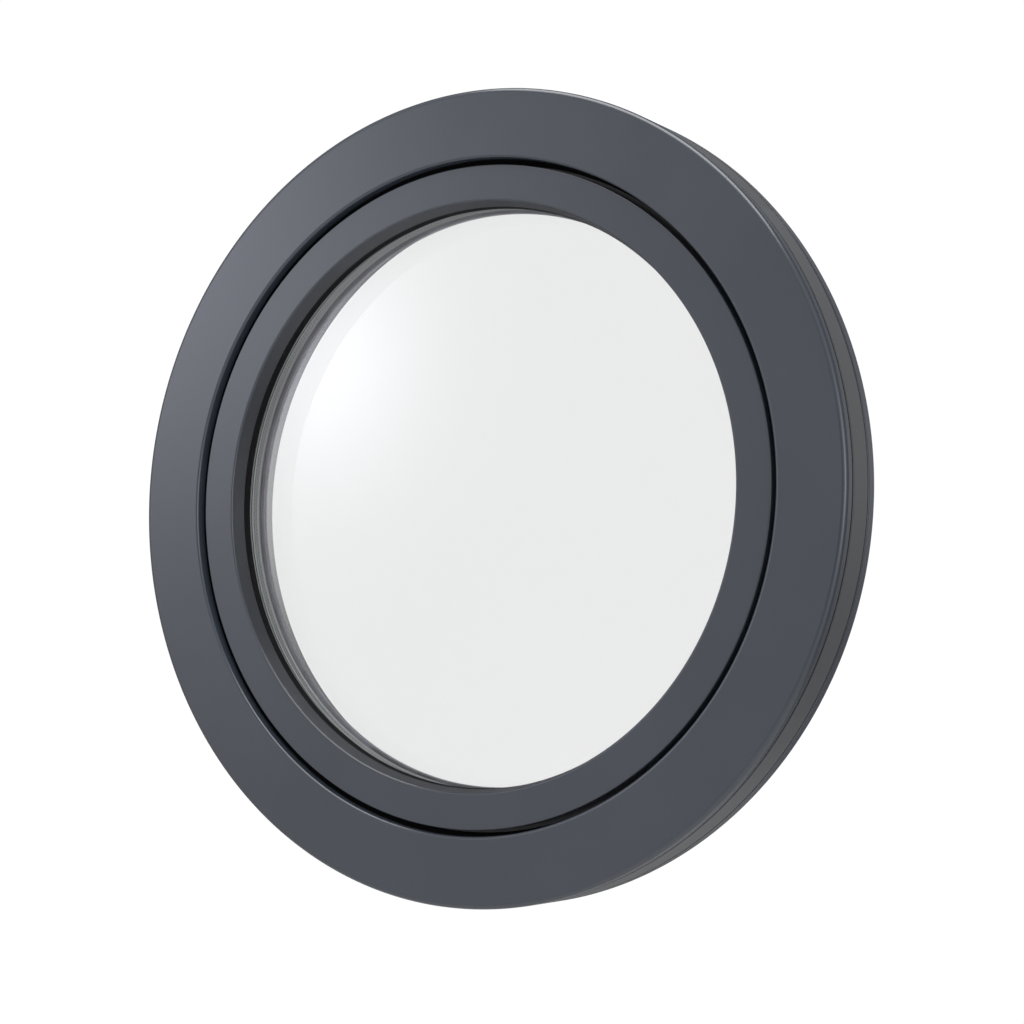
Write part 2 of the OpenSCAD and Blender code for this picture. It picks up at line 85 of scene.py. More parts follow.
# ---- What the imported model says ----

def node_points(node):
    """All points of a CAD node, one row each."""
    mesh = frame["nodes"][node].data
    flat = np.empty(len(mesh.vertices) * 3, np.float32)
    mesh.vertices.foreach_get("co", flat)
    return flat.reshape(-1, 3).astype(float)


def span(node):
    """Smallest and largest radius about the window's axis, then lowest and highest Y."""
    points = node_points(node)
    radius = np.hypot(points[:, 0], points[:, 2])
    return radius.min(), radius.max(), points[:, 1].min(), points[:, 1].max()


def inner_radius(node, y):
    """Smallest radius of a CAD node at one level along Y."""
    points = node_points(node)
    level = points[np.abs(points[:, 1] - y) < 0.01 * MM]
    return np.hypot(level[:, 0], level[:, 2]).min()


def joint_place(name):
    """Where a joint's axis passes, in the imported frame."""
    return next(j["pos_m"] for j in frame["joints"] if j["name"] == name)


def mount(name):
    """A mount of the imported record, by name."""
    return next(m for m in frame["record"]["mounts"] if m["name"] == name)


def fixing_circle():
    """Threaded inserts: the radius of their circle, their own radius and their angles."""
    fixing = mount("wall_fixing")["dims"]
    circle_r, count = fixing["pcd_mm"] * MM / 2, fixing["count"]
    sleeve_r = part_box("fixing_inserts")[1][0] - circle_r * math.cos(math.pi / count)
    return circle_r, sleeve_r, (np.arange(count) + 0.5) * 2 * math.pi / count


# ---- Outlines ----

def rounded(corners, steps=6, hold=0.3 * MM, least=0.12 * MM):
    """Closed outline through corners [u, v, radius], with every corner turned into an arc.

    The arc's centre lies radius / sin(half angle) from the corner along the bisector, and it
    meets the sides radius / tan(half angle) from the corner. One extra point on each side of
    an arc, hold away, keeps the flat beside it flat under smooth shading.
    """
    data = np.array(corners, float)
    here, radius = data[:, :2], np.maximum(data[:, 2], least)
    to_last = np.roll(here, 1, 0) - here
    to_next = np.roll(here, -1, 0) - here
    len_last = np.linalg.norm(to_last, axis=1)
    len_next = np.linalg.norm(to_next, axis=1)
    unit_last, unit_next = to_last / len_last[:, None], to_next / len_next[:, None]
    half = np.arccos(np.clip((unit_last * unit_next).sum(1), -1, 1)) / 2
    reach = radius / np.tan(half)
    bisector = unit_last + unit_next
    bisector /= np.linalg.norm(bisector, axis=1)[:, None]
    centre = here + bisector * (radius / np.sin(half))[:, None]
    start = here + unit_last * reach[:, None]
    end = here + unit_next * reach[:, None]
    first, last = start - centre, end - centre
    turn = np.sign(first[:, 0] * last[:, 1] - first[:, 1] * last[:, 0])
    angle = (np.arctan2(first[:, 1], first[:, 0])[:, None]
             + (turn * (math.pi - 2 * half))[:, None] * np.linspace(0, 1, steps + 1))
    arc = centre[:, None] + radius[:, None, None] * np.stack([np.cos(angle), np.sin(angle)], -1)
    free_last = len_last - reach - np.roll(reach, 1)
    free_next = len_next - reach - np.roll(reach, -1)
    before = start + unit_last * np.minimum(hold, free_last / 4)[:, None]
    after = end + unit_next * np.minimum(hold, free_next / 4)[:, None]
    return np.concatenate([before[:, None], arc, after[:, None]], 1).reshape(-1, 2)


def round_angles(sides):
    """Equal steps round a full turn."""
    return np.arange(sides) * 2 * math.pi / sides


def box_outline(u0, u1, v0, v1, radius):
    """Rectangle with rounded corners."""
    return rounded([[u0, v0, radius], [u1, v0, radius], [u1, v1, radius], [u0, v1, radius]])


def slot_outline(u, v0, v1, radius, steps=24):
    """Bar with half-round ends between two points one above the other: two half circles."""
    top = np.linspace(0, math.pi, steps + 1)
    low = top + math.pi
    return np.concatenate([
        np.stack([u + radius * np.cos(top), v1 + radius * np.sin(top)], 1),
        np.stack([u + radius * np.cos(low), v0 + radius * np.sin(low)], 1)])


def inset(outline, depth):
    """Outline moved inwards by depth along the mean of its two side normals at each point."""
    side = np.roll(outline, -1, 0) - outline
    side /= np.maximum(np.linalg.norm(side, axis=1), 1e-9)[:, None]
    area = np.sum(outline[:, 0] * np.roll(outline[:, 1], -1)
                  - np.roll(outline[:, 0], -1) * outline[:, 1])
    normal = np.stack([-side[:, 1], side[:, 0]], 1) * np.sign(area)
    mean = normal + np.roll(normal, 1, 0)
    mean /= np.maximum(np.linalg.norm(mean, axis=1), 1e-9)[:, None]
    return outline + mean * depth


# ---- Surfaces: each returns points, quads and many-sided faces ----

def grid_quads(rows, cols, close_rows):
    """Four-sided faces of a grid of points whose columns always close on themselves."""
    i = np.arange(rows if close_rows else rows - 1)[:, None]
    j = np.arange(cols)[None]
    a, b = i % rows * cols, (i + 1) % rows * cols
    return np.stack([a + j, b + j, b + (j + 1) % cols, a + (j + 1) % cols],
                    -1).reshape(-1, 4)


def skin(rings, closed=False):
    """Surface through rings of points; open ends are capped with one flat face each."""
    rows, cols = rings.shape[:2]
    caps = [] if closed else [list(range(cols)), list(range((rows - 1) * cols, rows * cols))[::-1]]
    return rings.reshape(-1, 3), grid_quads(rows, cols, closed), caps


def turned(profile, u, v, sides=72, closed=False, axis="Y"):
    """Profile [radius, level] turned about a line along Y through x, z, or along Z through
    x, y: the point at angle a is (u + r cos a, v + r sin a) at its level.
    """
    profile, angle = np.array(profile, float), round_angles(sides)
    radius, level = profile[:, :1], np.broadcast_to(profile[:, 1:], (len(profile), sides))
    first, second = u + radius * np.cos(angle), v + radius * np.sin(angle)
    order = [first, level, second] if axis == "Y" else [first, second, level]
    return skin(np.stack(order, -1), closed)


def placed(outline, level, axis):
    """Outline at one level along an axis: [x, z] outlines along Y, [x, y] outlines along Z."""
    flat = np.full(len(outline), level)
    if axis == "Y":
        return np.stack([outline[:, 0], flat, outline[:, 1]], -1)
    return np.stack([outline[:, 0], outline[:, 1], flat], -1)


def quarter_round(edge, steps):
    """Rings of a quarter-round edge from the face outwards: at angle a a ring is inset by
    edge (1 - cos a) and lies edge (1 - sin a) inside the face."""
    a = np.linspace(math.pi / 2, 0, steps + 1)
    return edge * (1 - np.cos(a)), edge * (1 - np.sin(a))


def slab(outline, low, high, edge, axis="Y", steps=5):
    """Plate of an outline between two levels, with quarter-round edges."""
    depth, drop = quarter_round(edge, steps)
    lower = [placed(inset(outline, d), low + h, axis) for d, h in zip(depth, drop)]
    upper = [placed(inset(outline, d), high - h, axis) for d, h in zip(depth, drop)][::-1]
    return skin(np.array(lower + upper))


def sleeve(outer, inner_r, x, y, low, high, edge, sides=72, steps=4):
    """Knuckle along Z about a pin: outer(angle) gives its outline as distances from the pin."""
    angle = round_angles(sides)
    reach = outer(angle)
    depth, drop = quarter_round(edge, steps)
    radii = [reach - d for d in depth] + [reach - d for d in depth[::-1]]
    levels = [low + h for h in drop] + [high - h for h in drop[::-1]]
    radii += [np.full(sides, inner_r)] * 2
    levels += [high, low]
    rings = [np.stack([x + r * np.cos(angle), y + r * np.sin(angle), np.full(sides, z)], -1)
             for r, z in zip(radii, levels)]
    return skin(np.array(rings), closed=True)


def signed_volume(points, quads, caps):
    """Six times the volume inside a closed surface, negative if its faces point inwards."""
    parts = [quads[:, [0, 1, 2]], quads[:, [0, 2, 3]]]
    for cap in caps:
        fan = np.array(cap)
        parts.append(np.stack([np.full(len(fan) - 2, fan[0]), fan[1:-1], fan[2:]], -1))
    tri = points[np.concatenate(parts)]
    return np.einsum("ij,ij->i", tri[:, 0], np.cross(tri[:, 1], tri[:, 2])).sum()


def smooth(mesh):
    """Smooth faces with sharp edges where they meet at a clear angle."""
    mesh.polygons.foreach_set("use_smooth", np.ones(len(mesh.polygons), bool))
    mesh.set_sharp_from_angle(angle=math.radians(38))


def make_mesh(name, shells):
    """One mesh of closed shells, with each shell's faces turned outwards."""
    points, faces, base = [], [], 0
    for p, quads, caps in shells:
        if signed_volume(p - p.mean(0), quads, caps) < 0:
            quads, caps = quads[:, ::-1], [c[::-1] for c in caps]
        points.append(p)
        faces += (quads + base).tolist() + [[k + base for k in c] for c in caps]
        base += len(p)
    mesh = bpy.data.meshes.new(name)
    mesh.from_pydata(np.concatenate(points).tolist(), [], faces)
    smooth(mesh)
    mesh.validate()
    mesh.update()
    return mesh


def add_piece(name, shells, material, body, replaced=()):
    """Object at the origin that rides on a body and stands for the CAD nodes it replaces."""
    if name in bpy.data.objects:
        raise RuntimeError(f"{name} is already built")
    piece = bpy.data.objects.new(name, make_mesh(name, shells))
    bpy.context.scene.collection.objects.link(piece)
    piece.data.materials.append(material)
    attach(piece, body)
    if replaced:
        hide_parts(*replaced)
    return piece


def bore(piece, rods):
    """Cuts round holes along Y, given as x, z, radius, y0 and y1, out of a piece."""
    cutter = bpy.data.objects.new("cutter", make_mesh("cutter", [
        turned([[r, y0], [r, y1]], x, z, 40) for x, z, r, y0, y1 in rods]))
    bpy.context.scene.collection.objects.link(cutter)
    cut = piece.modifiers.new("bore", "BOOLEAN")
    cut.operation, cut.solver, cut.object = "DIFFERENCE", "EXACT", cutter
    bpy.context.view_layer.update()
    graph = bpy.context.evaluated_depsgraph_get()
    solid = bpy.data.meshes.new_from_object(piece.evaluated_get(graph))
    piece.modifiers.clear()
    old, piece.data = piece.data, solid
    bpy.data.meshes.remove(old)
    bpy.data.objects.remove(cutter)
    smooth(solid)


# ---- Materials ----

class Value:
    """A node's output that Python arithmetic works on; each operator adds a Math node."""

    def __init__(self, sheet, socket):
        self.sheet, self.socket = sheet, socket

    def math(self, operation, *inputs):
        return self.sheet.node("ShaderNodeMath", {"operation": operation},
                               dict(enumerate(inputs)))

    def __add__(self, other):
        return self.math("ADD", self, other)

    def __radd__(self, other):
        return self.math("ADD", other, self)

    def __sub__(self, other):
        return self.math("SUBTRACT", self, other)

    def __rsub__(self, other):
        return self.math("SUBTRACT", other, self)

    def __mul__(self, other):
        return self.math("MULTIPLY", self, other)

    def __truediv__(self, other):
        return self.math("DIVIDE", self, other)

    def __pow__(self, other):
        return self.math("POWER", self, other)

    def call(self, operation, *others):
        """A Math node's named function of this value, such as SINE or FRACT."""
        return self.math(operation, self, *others)


class Sheet:
    """A node tree that is written in Python."""

    def __init__(self, tree):
        self.tree = tree
        tree.nodes.clear()

    def node(self, kind, settings=None, inputs=None, output=0):
        """Adds a node: its settings first, then the values or links of its sockets."""
        made = self.tree.nodes.new(kind)
        for key, value in (settings or {}).items():
            setattr(made, key, value)
        for key, value in (inputs or {}).items():
            if isinstance(value, Value):
                self.tree.links.new(value.socket, made.inputs[key])
            else:
                made.inputs[key].default_value = value
        return Value(self, made.outputs[output]) if len(made.outputs) else made

    def place(self):
        """Object coordinates as three values and as the vector itself."""
        vector = self.node("ShaderNodeTexCoord", output="Object")
        split = self.node("ShaderNodeSeparateXYZ", inputs={0: vector})
        x, y, z = (Value(self, split.socket.node.outputs[k]) for k in range(3))
        return vector, x, y, z

    def noise(self, vector, scale, detail=2.0, rough=0.5):
        """Noise from 0 to 1 with its scale in cells a metre."""
        return self.node("ShaderNodeTexNoise", inputs={
            "Vector": vector, "Scale": scale, "Detail": detail, "Roughness": rough})

    def mix(self, factor, low, high):
        """A colour between two colours."""
        return self.node("ShaderNodeMix", {"data_type": "RGBA"}, {0: factor, 6: low, 7: high}, 2)

    def ramp(self, value, low, high):
        """0 below low, 1 above high and smooth between them."""
        return self.node("ShaderNodeMapRange", {"interpolation_type": "SMOOTHSTEP"}, {
            "Value": value, "From Min": low, "From Max": high})

    def bump(self, height, distance):
        """A normal from a height between 0 and 1 and the depth that it stands for."""
        return self.node("ShaderNodeBump", inputs={
            "Height": height, "Distance": distance, "Strength": 1.0})


def shade(colour, gain):
    """A colour made lighter or darker, with its alpha left at 1."""
    return tuple(min(1.0, c * gain) for c in colour[:3]) + (1.0,)


def new_material(name, build):
    """The material of a name, made by build(sheet), which returns the surface shader."""
    if name in bpy.data.materials:
        return bpy.data.materials[name]
    material = bpy.data.materials.new(name)
    material.use_nodes = True
    sheet = Sheet(material.node_tree)
    sheet.node("ShaderNodeOutputMaterial", inputs={"Surface": build(sheet)})
    return material


def coated_metal():
    """Fine matt powder coat: slow mottling, a faint orange peel and a varying gloss.

    The sash's reveal, between the face and the panes, is duller and gets painted shade: its base colour is halved.
    """
    finish = bpy.context.scene.window_finish
    _, _, front, rear = span("sash_outdoor_shell")
    reveal_r = inner_radius("sash_outdoor_shell", front) - 2 * MM
    blend, reveal_shade_gain, reveal_dull = 0.3 * MM, 0.5, 0.2

    def build(s):
        vector, x, y, z = s.place()
        cloud = s.noise(vector, 7.0, 3.0)
        grain = s.noise(vector, 1100.0, 2.0)
        peel = s.noise(vector, 420.0, 1.0)
        tone = s.ramp(cloud * 0.8 + grain * 0.2, 0.3, 0.7)
        colour = finish.coat_colour
        radius = (x * x + z * z).call("SQRT")
        # painted shade: inside the reveal the coat's base colour is halved, standing in for the shade of the
        # recess
        reveal = ((1.0 - s.ramp(radius, reveal_r - blend, reveal_r))
                  * y.call("LESS_THAN", rear + MM))
        plain = s.mix(tone, shade(colour, 0.93), shade(colour, 1.07))
        return s.node("ShaderNodeBsdfPrincipled", inputs={
            "Base Color": s.mix(reveal, plain, shade(colour, reveal_shade_gain)),
            "Roughness": (finish.coat_roughness + (cloud - 0.5) * 0.08 + (grain - 0.5) * 0.05
                          + reveal * reveal_dull),
            "IOR": METAL_IOR,
            "Normal": s.bump(peel * 0.6 + grain * 0.4, 0.005 * MM)})
    return new_material("satin_anthracite_coat", build)


def core_plastic():
    """Glass-filled polyamide: drawn streaks round the ring and a black band of painted shade
    along the frame's rear joint."""
    finish = bpy.context.scene.window_finish
    _, rim, _, rear = span("frame_core")
    band, blend, depth = 3.4 * MM, 0.4 * MM, 3 * MM

    def build(s):
        vector, x, y, z = s.place()
        radius = (x * x + z * z).call("SQRT")
        along = s.node("ShaderNodeCombineXYZ", inputs={
            0: radius * 900.0, 1: y * 900.0, 2: x.math("ARCTAN2", z, x) * 6.0})
        streak = s.noise(along, 1.0, 3.0)
        grain = s.noise(vector, 1500.0)
        # painted shade: a black band along the rear joint stands in for the shade in the joint line
        joint_shade = (s.ramp(y, rear - band, rear - band + blend)
                   * radius.call("GREATER_THAN", rim - depth))
        plain = s.mix(streak, shade(finish.core_colour, 0.88), shade(finish.core_colour, 1.12))
        return s.node("ShaderNodeBsdfPrincipled", inputs={
            "Base Color": s.mix(joint_shade, plain, shade(finish.seal_colour, 1.0)),
            "Roughness": 0.3 + streak * 0.1 + joint_shade * 0.4,
            "IOR": PLASTIC_IOR,
            "Normal": s.bump(streak * 0.7 + grain * 0.3, 0.012 * MM)})
    return new_material("glass_filled_core", build)


def seal_rubber(name="black_seal_rubber", gain=1.0):
    """Extruded rubber: dull, with fine pores and a little bloom; gain makes it lighter."""
    finish = bpy.context.scene.window_finish

    def build(s):
        vector = s.place()[0]
        bloom = s.noise(vector, 22.0, 3.0)
        pores = s.noise(vector, 1900.0, 2.0)
        return s.node("ShaderNodeBsdfPrincipled", inputs={
            "Base Color": s.mix(bloom, shade(finish.seal_colour, 0.7 * gain),
                                shade(finish.seal_colour, 1.5 * gain)),
            "Roughness": 0.52 + bloom * 0.14,
            "Specular IOR Level": 0.12,
            "Normal": s.bump(pores, 0.03 * MM)})
    return new_material(name, build)


def brushed_steel():
    """Zinc-bright steel with fine brushed lines across it and a soft stain."""
    finish = bpy.context.scene.window_finish

    def build(s):
        vector = s.place()[0]
        lines = s.noise(s.node("ShaderNodeVectorMath", {"operation": "MULTIPLY"}, {
            0: vector, 1: (2600.0, 2600.0, 160.0)}), 1.0, 2.0)
        stain = s.noise(vector, 60.0, 2.0)
        return s.node("ShaderNodeBsdfPrincipled", inputs={
            "Base Color": s.mix(stain, shade(finish.steel_colour, 0.86),
                                shade(finish.steel_colour, 1.06)),
            "Metallic": 1.0,
            "Roughness": 0.24 + lines * 0.16,
            "Normal": s.bump(lines, 0.008 * MM)})
    return new_material("brushed_steel", build)


def clear_glass():
    """Clear float glass that mirrors more towards grazing, after Schlick's formula."""
    finish = bpy.context.scene.window_finish
    straight, grazing, power = 0.037, 0.9, 5.0

    def build(s):
        vector = s.place()[0]
        clear = s.node("ShaderNodeBsdfTransparent",
                       inputs={"Color": tuple(finish.glass_colour[:3]) + (1.0,)})
        mirror = s.node("ShaderNodeBsdfGlossy", inputs={
            "Color": (1, 1, 1, 1), "Roughness": 0.02})
        facing = s.node("ShaderNodeLayerWeight", inputs={"Blend": 0.5}, output="Facing")
        haze = s.noise(vector, 4.0, 1.0) * 0.006
        return s.node("ShaderNodeMixShader", inputs={
            0: facing ** power * grazing + straight + haze, 1: clear, 2: mirror})
    return new_material("float_glass", build)


def spacer_metal():
    """Thin rolled metal, two rows of small slots coloured as painted shade, a black line of butyl."""
    finish = bpy.context.scene.window_finish
    radius, _, front, rear = span("spacer_bar")
    middle, pitch = (front + rear) / 2, 4.0 * MM
    row_y, butyl_y = 1.6 * MM, front + 2.3 * MM

    def build(s):
        vector, x, y, z = s.place()
        turn = x.math("ARCTAN2", z, x) * (radius / pitch)
        row = (y - middle).call("ABSOLUTE") - row_y
        step = (turn + (y - middle).call("GREATER_THAN", 0.0) * 0.5).call("FRACT") - 0.5
        # painted shade: each slot is dented by the bump and coloured near black for the shade inside the hole
        slot = ((1.0 - s.ramp(step.call("ABSOLUTE"), 0.16, 0.22))
                * (1.0 - s.ramp(row.call("ABSOLUTE"), 0.25 * MM, 0.4 * MM)))
        fillet = (y - butyl_y).call("ABSOLUTE")
        dark = slot.math("MAXIMUM", slot, 1.0 - s.ramp(fillet, 0.6 * MM, 0.9 * MM))
        rolled = s.noise(vector, 240.0, 2.0)
        return s.node("ShaderNodeBsdfPrincipled", inputs={
            "Base Color": s.mix(dark, shade(finish.spacer_colour, 1.0), (0.015, 0.015, 0.015, 1)),
            "Metallic": 0.5 - dark * 0.5,
            "Roughness": 0.34 + rolled * 0.12,
            "Normal": s.bump(rolled * 0.3 - slot, 0.1 * MM)})
    return new_material("rolled_spacer", build)


def block_plastic():
    """Moulded blue-grey polypropylene."""
    def build(s):
        vector = s.place()[0]
        haze = s.noise(vector, 90.0, 3.0)
        return s.node("ShaderNodeBsdfPrincipled", inputs={
            "Base Color": s.mix(haze, (0.075, 0.17, 0.27, 1), (0.12, 0.24, 0.36, 1)),
            "Roughness": 0.42 + haze * 0.1,
            "Normal": s.bump(s.noise(vector, 900.0), 0.02 * MM)})
    return new_material("moulded_block", build)


# ---- Settings ----

class WindowSizes(bpy.types.PropertyGroup):
    """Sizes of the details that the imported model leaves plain."""
    ring_sides: bpy.props.IntProperty(
        name="Ring sides", description="Points round each large ring", default=480,
        min=96, max=720)
    face_edge: bpy.props.FloatProperty(
        name="Face edge", description="Radius of the frame's outer outdoor edge",
        default=5.0 * MM, min=0.5 * MM, max=6 * MM, unit="LENGTH", precision=4)
    edge: bpy.props.FloatProperty(
        name="Edge", description="Radius of the rings' other visible edges",
        default=2.0 * MM, min=0.3 * MM, max=2.5 * MM, unit="LENGTH", precision=4)
    line_edge: bpy.props.FloatProperty(
        name="Line edge", description="Radius of the edges beside the joint lines",
        default=0.7 * MM, min=0.2 * MM, max=1 * MM, unit="LENGTH", precision=4)
    plate_edge: bpy.props.FloatProperty(
        name="Plate edge", description="Radius of the hardware plates' edges",
        default=0.8 * MM, min=0.2 * MM, max=1.5 * MM, unit="LENGTH", precision=4)


class WindowFinish(bpy.types.PropertyGroup):
    """Colours and gloss of the finishes."""
    coat_colour: bpy.props.FloatVectorProperty(
        name="Coat", description="Colour of the coated metal", subtype="COLOR", size=3,
        default=(0.046, 0.055, 0.073), min=0, max=1)
    coat_roughness: bpy.props.FloatProperty(
        name="Coat roughness", description="How matt the coated metal is", default=0.21,
        min=0.1, max=0.9, subtype="FACTOR")
    core_colour: bpy.props.FloatVectorProperty(
        name="Core", description="Colour of the insulating core", subtype="COLOR", size=3,
        default=(0.100, 0.104, 0.113), min=0, max=1)
    seal_colour: bpy.props.FloatVectorProperty(
        name="Seals", description="Colour of the rubber seals", subtype="COLOR", size=3,
        default=(0.008, 0.008, 0.009), min=0, max=1)
    steel_colour: bpy.props.FloatVectorProperty(
        name="Steel", description="Colour of screws, pins and latch", subtype="COLOR", size=3,
        default=(0.56, 0.57, 0.58), min=0, max=1)
    glass_colour: bpy.props.FloatVectorProperty(
        name="Glass", description="Tint of the panes", subtype="COLOR", size=3,
        default=(0.966, 0.967, 0.967), min=0, max=1)
    spacer_colour: bpy.props.FloatVectorProperty(
        name="Spacer", description="Colour of the spacer bar", subtype="COLOR", size=3,
        default=(0.52, 0.54, 0.55), min=0, max=1)


class WindowStage(bpy.types.PropertyGroup):
    """Camera, light and floor."""
    azimuth: bpy.props.FloatProperty(
        name="Azimuth", description="Camera's angle to the right of the window's front",
        default=math.radians(32.44), subtype="ANGLE")
    elevation: bpy.props.FloatProperty(
        name="Elevation", description="Camera's angle above the window's middle",
        default=math.radians(-5.17), subtype="ANGLE")
    distance: bpy.props.FloatProperty(
        name="Distance", description="From the camera to the middle of the outdoor face",
        default=2.176, unit="LENGTH")
    lens: bpy.props.FloatProperty(
        name="Lens", description="Focal length in millimetres", default=78.55)
    pan: bpy.props.FloatProperty(
        name="Pan", description="Turn of the camera away from the window's middle",
        default=math.radians(-1.238), subtype="ANGLE")
    tilt: bpy.props.FloatProperty(
        name="Tilt", description="Tilt of the camera away from the window's middle",
        default=math.radians(0.459), subtype="ANGLE")
    floor_drop: bpy.props.FloatProperty(
        name="Floor drop", description="Depth of the floor below the window's lowest point",
        default=0.85, unit="LENGTH")
    floor_radius: bpy.props.FloatProperty(
        name="Floor radius", description="Radius of the floor's disc", default=1.9,
        unit="LENGTH")


# ---- Operators ----

def ring_piece(name, node, corners, material, body):
    """One ring about the window's axis from its section's corners [radius, y, edge radius]."""
    sides = bpy.context.scene.window_sizes.ring_sides
    return add_piece(name, [turned(rounded(corners), 0.0, 0.0, sides, closed=True)],
                     material, body, [node])


class WINDOW_OT_frame_rings(bpy.types.Operator):
    """Frame: outdoor shell, black joint, insulating core and indoor shell"""
    bl_idname = "window.frame_rings"
    bl_label = "Frame rings"

    def execute(self, context):
        sizes = context.scene.window_sizes
        e, line, gap_edge = sizes.edge, sizes.line_edge, 1.3 * sizes.edge
        r0, r1, y0, y1 = span("frame_outdoor_shell")
        r0 -= GAP_REACH
        ring_piece("frame_face_ring", "frame_outdoor_shell",
                   [[r0, y0, gap_edge], [r1, y0, sizes.face_edge], [r1, y1, line], [r0, y1, e]],
                   coated_metal(), "frame")
        r0, r1, y0, y1 = span("frame_joint_gasket")
        crown, soft = 0.5 * MM, 0.3 * MM
        ring_piece("frame_joint_seal", "frame_joint_gasket",
                   [[r0, y0, 0], [r1, y0, 0], [r1 + crown, y0 + crown, soft],
                    [r1 + crown, y1 - crown, soft], [r1, y1, 0], [r0, y1, 0]],
                   seal_rubber(), "frame")
        core_front, joint_edge = 1.8 * MM, 1.5 * MM
        r0, r1, y0, y1 = span("frame_core")
        ring_piece("frame_core_ring", "frame_core",
                   [[r0, y0, 0], [r1, y0, core_front], [r1, y1, joint_edge], [r0, y1, 0]],
                   core_plastic(), "frame")
        r0, r1, y0, y1 = span("frame_indoor_shell")
        shell = ring_piece("frame_indoor_ring", "frame_indoor_shell",
                           [[r0, y0, 0], [r1, y0, joint_edge], [r1, y1, e], [r0, y1, e]],
                           coated_metal(), "frame")
        circle_r, sleeve_r, angles = fixing_circle()
        hole_depth = 12 * MM
        bore(shell, [(circle_r * math.cos(a), circle_r * math.sin(a), sleeve_r, -hole_depth, MM)
                     for a in angles])
        return {"FINISHED"}


class WINDOW_OT_sash_rings(bpy.types.Operator):
    """Sash: outdoor shell with its reveal, core, flanged indoor shell and glazing bead"""
    bl_idname = "window.sash_rings"
    bl_label = "Sash rings"

    def execute(self, context):
        sizes = context.scene.window_sizes
        e, line, gap_edge = sizes.edge, sizes.line_edge, 0.7 * sizes.edge
        sight, r1, y0, y1 = span("sash_outdoor_shell")
        face_r, gap_r = inner_radius("sash_outdoor_shell", y0) - e, r1 + GAP_REACH
        ring_piece("sash_face_ring", "sash_outdoor_shell",
                   [[face_r, y0, e], [gap_r, y0, gap_edge], [gap_r, y1, 0],
                    [sight, y1, 0.5 * MM]],
                   coated_metal(), "sash")
        pocket, body_r, c0, c1 = span("sash_core")
        shoulder = c0 + 6 * MM
        ring_piece("sash_core_ring", "sash_core",
                   [[pocket, c0, 0], [r1, c0, 0], [r1, shoulder, 0], [body_r, shoulder, line],
                    [body_r, c1, 0], [pocket, c1, 0]],
                   core_plastic(), "sash")
        pocket, flange, s0, s1 = span("sash_indoor_shell")
        flange_front = span("flange_seal")[3]
        ring_piece("sash_indoor_ring", "sash_indoor_shell",
                   [[pocket, s0, 0], [body_r, s0, 0], [body_r, flange_front, 0],
                    [flange, flange_front, e], [flange, s1, e], [pocket, s1, line]],
                   coated_metal(), "sash")
        b0, b1, y0, y1 = span("glazing_bead")
        ring_piece("glazing_bead_ring", "glazing_bead",
                   [[b0, y0, 0.4 * MM], [b1, y0, 0], [b1, y1, line],
                    [inner_radius("glazing_bead", y1), y1, e]],
                   coated_metal(), "sash")
        return {"FINISHED"}


class WINDOW_OT_seals(bpy.types.Operator):
    """Rubber: the glass gaskets, the centre seal and the seal under the flange"""
    bl_idname = "window.seals"
    bl_label = "Seals and gaskets"

    def execute(self, context):
        rubber = seal_rubber()
        r0, r1, y0, y1 = span("outdoor_glass_gasket")
        lip, hollow = 0.4 * MM, (y1 - y0) / 4
        ring_piece("outdoor_gasket_ring", "outdoor_glass_gasket",
                   [[r0 + lip, y0, 0.2 * MM], [r1, y0, 0], [r1, y1, 0], [r0, y1, 0.3 * MM],
                    [r0, y1 - hollow, 0.6 * MM], [r0 + 2 * lip, y0 + hollow, 0.6 * MM]],
                   rubber, "sash")
        r0, r1, y0, y1 = span("indoor_glass_gasket")
        ring_piece("indoor_gasket_ring", "indoor_glass_gasket",
                   [[r0, y0, 0.4 * MM], [r1, y0, 0], [r1, y1, 0], [r0, y1, 0.4 * MM]],
                   # painted reflection: the black rubber lightened 55 times to grey, standing in for the haze the
                   # panes reflect over this gasket
                   seal_rubber("glazing_rubber_painted_reflection", 55.0), "sash")
        r0, r1, y0, y1 = span("flange_seal")
        ring_piece("flange_seal_ring", "flange_seal",
                   [[r0, y0, 0.9 * MM], [r1, y0, 0.9 * MM], [r1, y1, 0.3 * MM],
                    [r0, y1, 0.3 * MM]],
                   rubber, "sash")
        lip_r, foot_r, y0, y1 = span("centre_seal")
        rebate = span("frame_indoor_shell")[0]
        outer = span("sash_core")[1] - MM
        ring_piece("centre_seal_ring", "centre_seal",
                   [[foot_r, y0, 0.2 * MM], [foot_r, y0 + 4 * MM, 0.2 * MM],
                    [rebate, y0 + 4 * MM, 0], [rebate, y0 + 7 * MM, 0.5 * MM],
                    [outer + 2 * MM, y1 - 2 * MM, 0.4 * MM], [outer, y1, 0.4 * MM],
                    [lip_r, y1, 0.5 * MM], [lip_r, y1 - 2 * MM, 0.5 * MM],
                    [rebate - 4 * MM, y0, 0.5 * MM]],
                   rubber, "frame")
        return {"FINISHED"}


